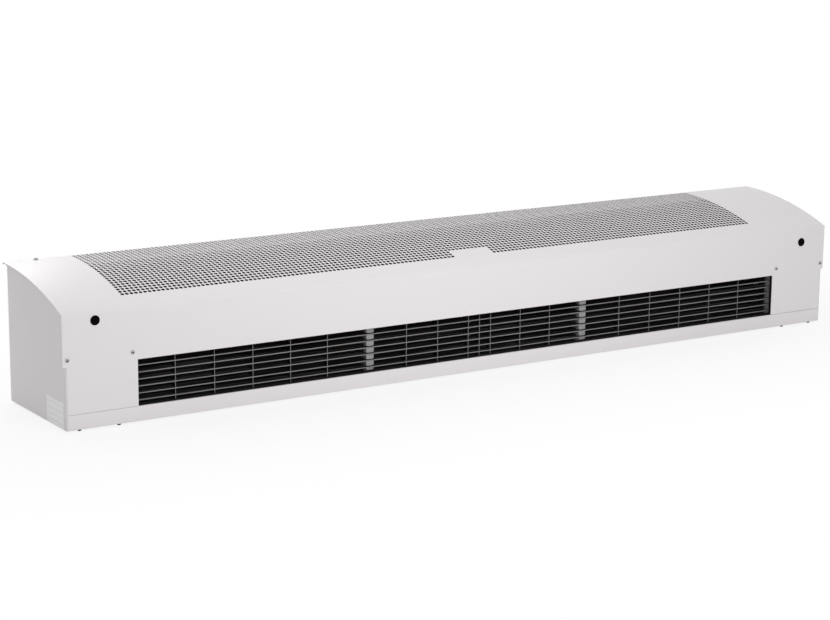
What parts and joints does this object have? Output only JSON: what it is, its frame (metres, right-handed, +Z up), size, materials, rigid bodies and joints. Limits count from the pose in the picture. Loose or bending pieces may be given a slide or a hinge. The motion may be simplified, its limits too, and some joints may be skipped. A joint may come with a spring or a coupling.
{
  "type": "air curtain",
  "caption": "Long wall-mounted air curtain with an arched punched intake cover, a recessed louvred discharge slot and a cross-flow fan inside.",
  "frame": {"origin": "under the middle of the bounding box, on the plane that the base screw heads rest on", "axes": "The part lies on its wall side, as pictured. +X runs along the casing to the viewer's right, -Y is the louvred discharge side, +Z is up to the punched arch. On a wall over a door the underside (-Z) faces the wall, -Y points down and the arch faces the room"},
  "size_m": [1.99, 0.295, 0.2968],
  "materials": {
    "casing_paint": "satin powder coat, light grey-white",
    "galvanised": "galvanised, dull",
    "duct_paint": "matt black",
    "louvre_plastic": "moulded, black with lighter front edges",
    "black_plastic": "moulded, half gloss",
    "screw_steel": "zinc plated",
    "wheel_metal": "rolled sheet",
    "motor_paint": "matt enamel",
    "rubber": "moulded",
    "heater_steel": "heat tinted",
    "label_film": "blank film",
    "terminal_plastic": "moulded"
  },
  "bodies": {
    "casing": {"front_cover": "casing_paint", "lower_rail": "casing_paint", "back_plate": "galvanised", "rear_panel": "casing_paint", "top_rail": "casing_paint", "side_plate_left": "casing_paint", "side_plate_right": "casing_paint", "cover_screw_left_outer": "screw_steel", "cover_screw_left_inner": "screw_steel", "cover_screw_right_outer": "screw_steel", "cover_screw_right_inner": "screw_steel", "rear_screw": "screw_steel", "base_screw_front_left_1": "screw_steel", "base_screw_front_left_2": "screw_steel", "base_screw_front_right_1": "screw_steel", "base_screw_front_right_2": "screw_steel", "base_screw_rear_left_1": "screw_steel", "base_screw_rear_right_1": "screw_steel", "hole_plug_left": "black_plastic", "hole_plug_right": "black_plastic", "rating_label": "label_film", "duct_floor": "duct_paint", "tongue_plate": "duct_paint", "duct_end_left": "duct_paint", "duct_end_right": "duct_paint", "scroll_shell_left": "duct_paint", "scroll_shell_right": "duct_paint", "motor_plate_left": "duct_paint", "motor_plate_right": "duct_paint", "grille_left": "louvre_plastic", "grille_middle": "louvre_plastic", "grille_right": "louvre_plastic", "grille_comb_left": "galvanised", "grille_comb_right": "galvanised", "motor_body": "motor_paint", "motor_ring_left": "rubber", "motor_ring_right": "rubber", "bearing_left": "screw_steel", "bearing_right": "screw_steel", "bearing_holder_left": "galvanised", "bearing_holder_right": "galvanised", "heater_bracket_left": "galvanised", "heater_bracket_centre": "galvanised", "heater_bracket_right": "galvanised", "heater_rod_lower": "heater_steel", "heater_rod_middle": "heater_steel", "heater_rod_upper": "heater_steel", "thermal_cutout": "black_plastic", "terminal_block": "terminal_plastic", "motor_capacitor": "terminal_plastic", "motor_lead": "rubber", "cable_grommet": "rubber"},
    "rotor": {"motor_shaft": "screw_steel", "coupling_left": "rubber", "coupling_right": "rubber", "impeller_left": "wheel_metal", "impeller_right": "wheel_metal", "stub_shaft_left": "screw_steel", "stub_shaft_right": "screw_steel"}
  },
  "joints": [
    {"name": "rotor_spin", "type": "hinge", "parent": "casing", "child": "rotor", "pos_m": [0, 0.02345, 0.1535], "axis": [1, 0, 0], "continuous": true}
  ]
}
